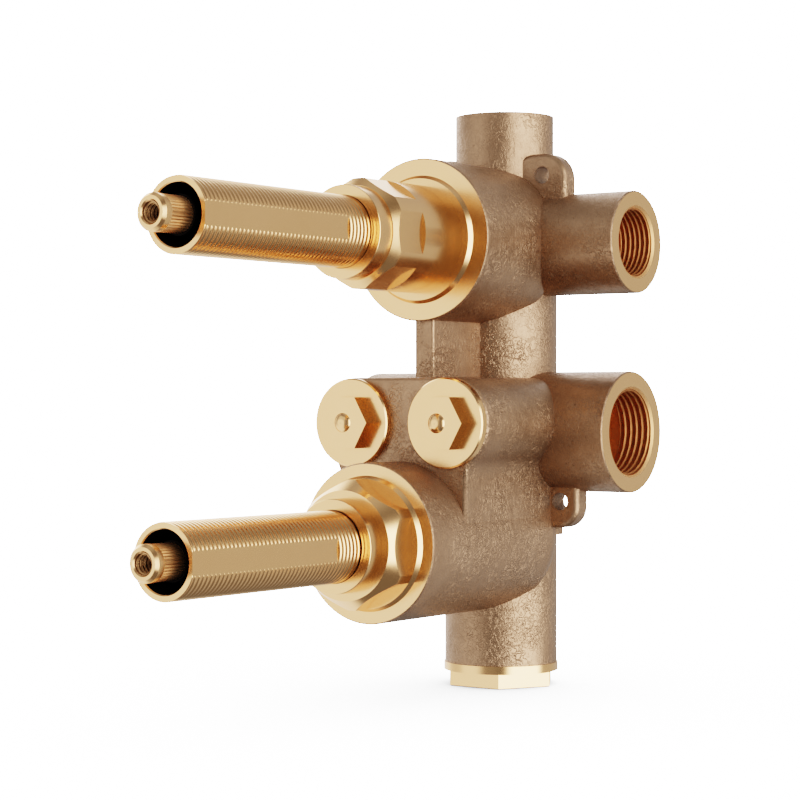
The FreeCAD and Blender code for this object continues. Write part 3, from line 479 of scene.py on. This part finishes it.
def dress_casting():
    """The casting is bronze all over, with brass on the faces that were machined after casting,
    reddish bronze in the ports and waterways and, on the block's rounded front edges, a rougher
    bronze darkened by painted shade.
    Each triangle is sorted by where it lies, and a later finish goes over an earlier one."""
    finishes = (bronze, diverter_brass, mixer_brass, inlet_brass, outlet_brass, tube_brass,
                waterway, bevel_brass, edge_bronze_painted_shade)
    mesh = nodes["valve_body"].data
    dress("valve_body", *finishes)
    index = np.zeros(len(mesh.polygons), np.int32)

    def paint(finish, where):
        index[where] = finishes.index(finish)

    x, y, z = triangles(mesh).T
    aside, forward = np.abs(x), -y
    to_diverter, to_mixer = np.hypot(x, z - DIVERTER_Z), np.hypot(x, z - MIXER_Z)
    to_inlet, to_outlet = np.hypot(y, z - INLET_Z), np.hypot(y, z - DIVERTER_Z)
    to_top, to_tube = np.hypot(x, y - TOP_TUBE_Y), np.hypot(x, y)
    tiny, edge = 0.02 * MM, 0.03 * MM

    # Ring faces and the bores behind them
    diverter_ring, diverter_bore, diverter_floor = 25 * MM, 19.4 * MM, 8 * MM
    mixer_ring, mixer_bore, mixer_floor = 24 * MM, 20.1 * MM, 10 * MM
    diverter_front = DIVERTER_FACE + tiny
    paint(diverter_brass,
          between(forward, DIVERTER_FACE - edge, diverter_front) & (to_diverter < diverter_ring)
          | between(forward, diverter_floor, diverter_front) & (to_diverter < diverter_bore))
    paint(mixer_brass, (forward > MIXER_FACE - edge) & (to_mixer < mixer_ring)
          | (forward > mixer_floor) & (to_mixer < mixer_bore))

    # End faces of the arms and the tube
    inlet_rim, outlet_rim = 19 * MM, 16 * MM
    paint(inlet_brass, (aside > INLET_REACH - edge) & (to_inlet < inlet_rim))
    paint(outlet_brass, (x > OUTLET_REACH - edge) & (to_outlet < outlet_rim))
    paint(tube_brass, (z > TUBE_TOP - tiny) & (to_top < outlet_rim) | (z < TUBE_BOTTOM + tiny))

    # Ports and waterways
    inlet_floor, outlet_floor, top_floor = 12 * MM, 4 * MM, 95 * MM
    supply_top, supply_bore = 72 * MM, 9.1 * MM
    inside = ((aside > inlet_floor) & (to_inlet < LARGE_PORT_R + tiny)
              | (x > outlet_floor) & (to_outlet < SMALL_PORT_R + tiny)
              | (z > top_floor) & (to_top < SMALL_PORT_R + tiny)
              | (z < supply_top) & (to_tube < supply_bore))
    paint(waterway, inside & (index == 0))

    # Bevels at the mouths of the ports
    bevel = 0.9 * MM
    at_inlet = between(aside, INLET_REACH - bevel, INLET_REACH - edge)
    at_outlet = between(x, OUTLET_REACH - bevel, OUTLET_REACH - edge)
    at_top = between(z, TUBE_TOP - bevel, TUBE_TOP - edge)
    paint(bevel_brass, at_inlet & (to_inlet < LARGE_PORT_R + bevel)
          | at_outlet & (to_outlet < SMALL_PORT_R + bevel)
          | at_top & (to_top < SMALL_PORT_R + bevel))

    # Rounded front edges of the block: rougher bronze darkened by painted shade, to keep a highlight
    # off them
    rounding, below_checks = 1.17 * MM, 9 * MM
    paint(edge_bronze_painted_shade, between(forward, BLOCK_FACE - rounding, BLOCK_FACE - edge)
          & between(aside, BLOCK_HALF - rounding, BLOCK_HALF - edge)
          & between(z, MIXER_Z, CHECK_Z - below_checks) & (to_mixer > mixer_ring))
    mesh.polygons.foreach_set("material_index", index)


def dress_spindle(node, tip, z, finish, spline_finish):
    """A spindle is turned brass, with a rougher finish on its cut splines and near-black painted
    shade on its shaft.
    """
    spline_start, spline_end = 2.85 * MM, 11.35 * MM
    spline_inside, spline_outside = 3.5 * MM, 5.1 * MM
    mesh = nodes[node].data
    dress(node, finish, spline_finish, bore_painted_shade)
    x, y, height = triangles(mesh).T
    behind, out = y + tip, np.hypot(x, height - z)
    cut = between(behind, spline_start, spline_end) & between(out, spline_inside, spline_outside)
    # The shaft, deep in the sleeve, takes the near-black painted shade
    shaft = behind > spline_end
    mesh.polygons.foreach_set("material_index", (cut + 2 * shaft).astype(np.int32))


dress_casting()
dress("bottom_plug", plug_brass)
for control, finish in (("diverter", diverter_brass), ("mixer", mixer_brass)):
    dress(f"{control}_bonnet", finish)
    dress(f"{control}_stem", finish)
    dress(f"{control}_bonnet_ring", rubber)
    dress(f"{control}_stem_rings", rubber)
    dress(f"{control}_clip", steel)
    dress(f"{control}_housing", plastic)
dress_spindle("diverter_spindle", DIVERTER_TIP, DIVERTER_Z, diverter_brass, diverter_spline)
dress_spindle("mixer_spindle", MIXER_TIP, MIXER_Z, mixer_brass, mixer_spline)
for supply, finish in (("hot", hot_plug_brass), ("cold", cold_plug_brass)):
    dress(f"{supply}_check_plug", finish)
    for part in ("seat", "guide", "poppet"):
        dress(f"{supply}_check_{part}", plastic)
    dress(f"{supply}_check_seal", rubber)
    dress(f"{supply}_plug_ring", rubber)
for part in ("diverter_driver", "diverter_base", "mixing_shuttle"):
    dress(part, plastic)
for part in ("diverter_moving_disc", "diverter_fixed_disc"):
    dress(part, ceramic)
for part in ("feed_nut", "overload_plate", "wax_element"):
    dress(part, mixer_brass)
dress("overload_spring", steel)
for part in ("bottom_plug_ring", "diverter_base_seals", "mixer_housing_rings", "shuttle_ring"):
    dress(part, rubber)

# Threaded sleeves in place of the plain ones
for node, start, collar, z, finish in (
        ("diverter_sleeve", 72.9 * MM, 84.9 * MM, DIVERTER_Z, diverter_brass),
        ("mixer_sleeve", 77.9 * MM, 89.5 * MM, MIXER_Z, mixer_brass)):
    mesh = threaded_sleeve(node + "_threaded", start, collar, z)
    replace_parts(add_piece(mesh, [finish, bore_painted_shade], "valve"), node)

# Threads in the ports and in the spindles' ends
INLET_PITCH = 2.0 * MM
OUTLET_PITCH = 1.67 * MM
PORT_DEPTH_TO_PITCH = 0.27
for name, radius, pitch, origin, axis, side in (
        ("cold_inlet_thread", LARGE_PORT_R, INLET_PITCH, (INLET_REACH, 0, INLET_Z), RIGHT, UP),
        ("hot_inlet_thread", LARGE_PORT_R, INLET_PITCH, (-INLET_REACH, 0, INLET_Z), LEFT, UP),
        ("side_outlet_thread", SMALL_PORT_R, OUTLET_PITCH, (OUTLET_REACH, 0, DIVERTER_Z), RIGHT, UP),
        ("top_outlet_thread", SMALL_PORT_R, OUTLET_PITCH, (0, TOP_TUBE_Y, TUBE_TOP), UP, RIGHT)):
    mesh = inside_thread(name, radius, PORT_DEPTH_TO_PITCH * pitch, pitch, start=0.6 * MM,
                         length=11.2 * MM, origin=origin, axis=axis, side=side)
    add_piece(mesh, [tapped], "valve")
for name, tip, z, body in (
        ("diverter_spindle_thread", DIVERTER_TIP, DIVERTER_Z, "diverter_control"),
        ("mixer_spindle_thread", MIXER_TIP, MIXER_Z, "temperature_control")):
    mesh = inside_thread(name, radius=3.0 * MM, depth=0.5 * MM, pitch=1.35 * MM, start=0.3 * MM,
                         length=10 * MM, origin=(0, -tip, z), axis=FRONT, side=RIGHT)
    add_piece(mesh, [tapped_brass], body)

# Springs as wire coils that fill the boxes of the pieces they replace
for node, wire, turns, body, front_fixed in (
        ("hot_check_spring", 0.3 * MM, 4, "hot_check", True),
        ("cold_check_spring", 0.3 * MM, 4, "cold_check", True),
        ("return_spring", 0.6 * MM, 3, "thermostat", False)):
    low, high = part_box(node)
    mesh = coil_spring(node + "_coil", low, high, wire, turns)
    piece = add_piece(mesh, [steel], None)
    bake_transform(piece)
    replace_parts(piece, node)


# Stage, light and camera

WHITE_STRENGTH = 16.0
SURROUND_STRENGTH = 0.20
# Each panel's azimuth, elevation, half width, half height and softness, in degrees, and strength.
# A negative strength is a dark card in front of a panel.
PANELS = (
    (-75, -25, 66, 41, 10, 1.26),
    (82.5, 0, 35.5, 28, 9, 4.2),
    (160, 0, 36, 42, 12, 0.38),
    (234, 28, 34, 20, 12, 2.5),
    (-30, 32, 36, 13, 8, 0.65),
    (8, 0, 16, 30, 10, 0.12),
    (-72, 4, 18, 14, 10, -0.8),
    (0, 90, 400, 30, 15, 0.34))


def floor():
    """A white floor disc under the bottom plug, glowing white to the camera, with a painted shadow
    near the plug from ambient occlusion.
    """
    radius, sides, gap = 3.0, 128, 0.2 * MM
    shadow_reach, shadow_samples = 0.12, 16
    angle = full_turn(sides)
    level = np.full(sides, cad_box[0].z - gap)
    rim = np.stack([radius * np.cos(angle), radius * np.sin(angle), level], axis=-1)
    mesh = bpy.data.meshes.new("floor")
    mesh.from_pydata(rim, [], [list(range(sides))])
    disc = bpy.data.objects.new("floor", mesh)
    disc.visible_glossy = disc.visible_diffuse = False
    scene.collection.objects.link(disc)
    f = Finish("pale_floor")
    # Painted shadow: ambient occlusion dims the floor's white glow near the object
    shade = f.node("ShaderNodeAmbientOcclusion", {"samples": shadow_samples},
                   {"Distance": shadow_reach}, "AO")
    f.set(Base_Color=colour(0.25, 0.25, 0.25))
    seen = f.node("ShaderNodeEmission", {}, {
        "Color": colour(1, 1, 1), "Strength": WHITE_STRENGTH * shade ** 2})
    camera_ray = f.node("ShaderNodeLightPath", output="Is Camera Ray")
    plain = Socket(f, f.shader.outputs[0])
    both = f.node("ShaderNodeMixShader", {}, {0: camera_ray, 1: plain, 2: seen})
    f.end("OUTPUT_MATERIAL", both)
    mesh.materials.append(f.material)


def studio():
    """Soft light from all round: a dim surround with wide bright panels, each a window in azimuth
    (0 in front of the object, 90 on its right) and elevation with soft edges; white behind."""
    world = bpy.data.worlds.new("studio")
    scene.world = world
    t = Tree(world)
    look = t.node("ShaderNodeTexCoord", output="Generated")
    x, y, z = (t.node("ShaderNodeSeparateXYZ", {}, {0: look}, axis) for axis in "XYZ")
    degree = 180 / math.pi
    azimuth = degree * x.math("ARCTAN2", x, -1 * y)
    elevation = degree * z.math("ARCSINE", z, 0)
    light = SURROUND_STRENGTH
    for middle, height, half_width, half_height, soft, strength in PANELS:
        turned = t.node("ShaderNodeMath", {"operation": "WRAP"}, {
            0: azimuth - middle, 1: 180.0, 2: -180.0})
        in_width = t.window(turned, half_width, soft)
        in_height = t.window(elevation - height, half_height, soft)
        light = light + strength * in_width * in_height
    camera_ray = t.node("ShaderNodeLightPath", output="Is Camera Ray")
    backdrop = t.node("ShaderNodeBackground", {}, {
        "Color": colour(1, 1, 1), "Strength": WHITE_STRENGTH})
    panels = t.node("ShaderNodeBackground", {}, {"Color": colour(1, 1, 1), "Strength": light})
    both = t.node("ShaderNodeMixShader", {}, {0: camera_ray, 1: panels, 2: backdrop})
    t.end("OUTPUT_WORLD", both)


def camera():
    """The photo's camera: level, 35 degrees to the right, 100 mm lens."""
    data = bpy.data.cameras.new("camera")
    data.lens, data.sensor_width, data.clip_start = 100, 36, 0.01
    eye = bpy.data.objects.new("camera", data)
    eye.location = (0.3785, -0.5964, 0.0313)
    eye.rotation_euler = (math.radians(90), 0, math.radians(35))
    scene.collection.objects.link(eye)
    scene.camera = eye


floor()
studio()
camera()
scene.view_settings.view_transform = "Filmic"
scene.view_settings.look = "High Contrast"
scene.view_settings.exposure = 0.0
